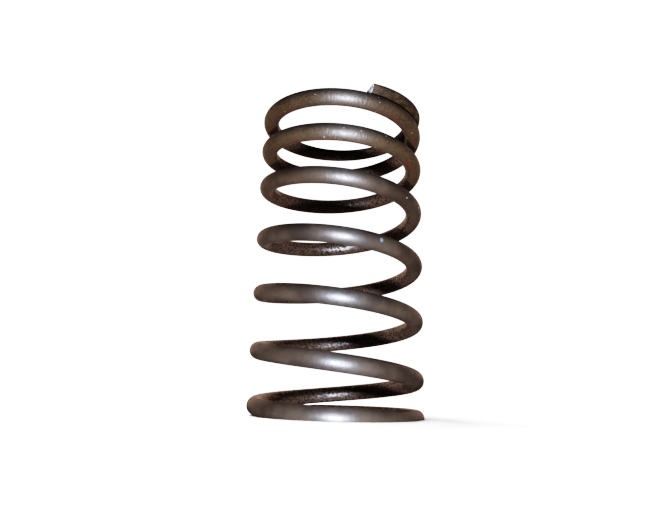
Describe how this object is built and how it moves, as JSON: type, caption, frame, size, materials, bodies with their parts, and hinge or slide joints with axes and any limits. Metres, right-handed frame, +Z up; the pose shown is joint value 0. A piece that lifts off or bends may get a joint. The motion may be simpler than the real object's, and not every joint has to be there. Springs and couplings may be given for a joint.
{
  "type": "valve spring",
  "caption": "Cylindrical compression spring of round steel wire, left-hand wound, close coils at the top and open coils below, with closed, flat ground ends, for an engine valve.",
  "frame": {"origin": "on the spring's axis, in the plane of its lower ground end", "axes": "+Z up the axis, from the open coils to the close coils; -Y is the side where the upper wire tip lies, a little towards +X"},
  "size_m": [0.035, 0.035, 0.064],
  "materials": {
    "spring_steel": "dark oxidised, softly shiny, lightly rust-stained"
  },
  "bodies": {
    "root": {"valve_spring": "spring_steel"}
  },
  "joints": []
}
